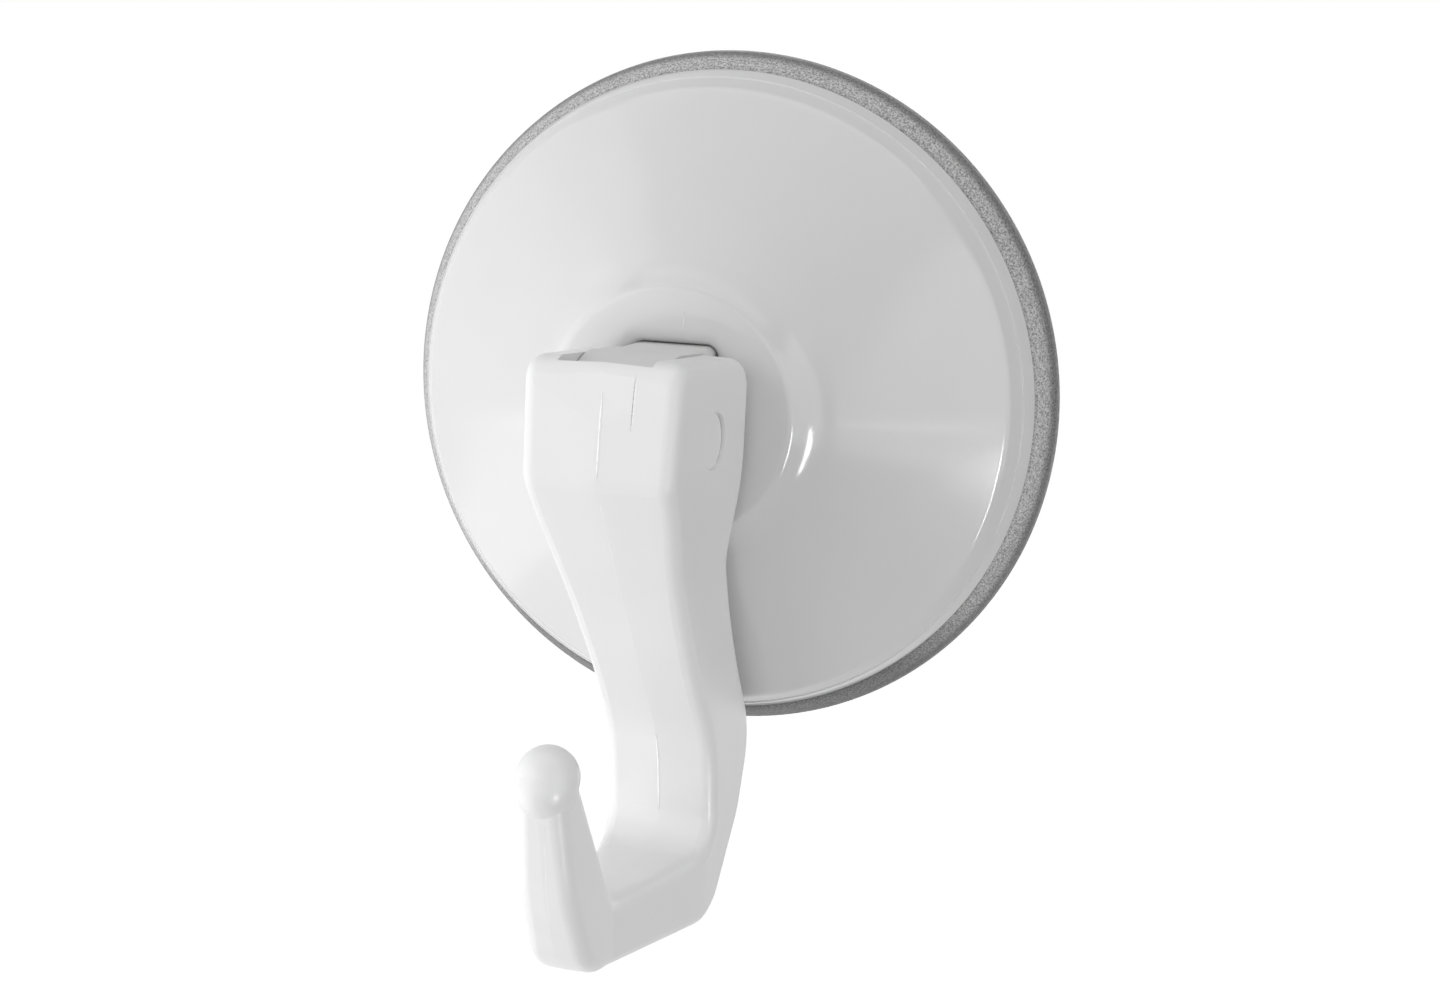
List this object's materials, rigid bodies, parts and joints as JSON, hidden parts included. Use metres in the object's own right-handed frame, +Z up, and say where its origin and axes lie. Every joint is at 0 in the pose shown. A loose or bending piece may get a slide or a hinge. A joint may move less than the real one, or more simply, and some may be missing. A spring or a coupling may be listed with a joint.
{
  "type": "suction cup hook",
  "caption": "White suction cup hook: a soft grey cup under a stiff cone-shaped cap, with a swinging lever that ends in an open J hook with a small ball tip.",
  "frame": {"origin": "centre of the cup's lip, on the wall plane", "axes": "+Y into the wall, -Y out toward the user, +Z up, +X to the right as seen from the front"},
  "size_m": [0.0646, 0.0449, 0.0797],
  "materials": {
    "soft_grey": "soft, frosted",
    "white_gloss": "glossy moulded",
    "stem_white": "matte",
    "pin_white": "satin"
  },
  "bodies": {
    "cap": {"pressure_cap": "white_gloss", "suction_cup": "soft_grey"},
    "stem": {"stem": "stem_white"},
    "lever": {"hook_lever": "white_gloss", "pivot_pin": "pin_white"}
  },
  "joints": [
    {"name": "stem_slide", "type": "slide", "parent": "cap", "child": "stem", "axis": [0, 1, 0], "range_m": [0, 0.0008], "deforming": ["suction_cup"]},
    {"name": "lever_hinge", "type": "hinge", "parent": "stem", "child": "lever", "pos_m": [0, -0.0247, -0.0006], "axis": [-1, 0, 0], "range_deg": [0, 90]}
  ],
  "couplings": [
    {"joint": "stem_slide", "follows": "lever_hinge", "m_per_rad": 0.0005092}
  ]
}
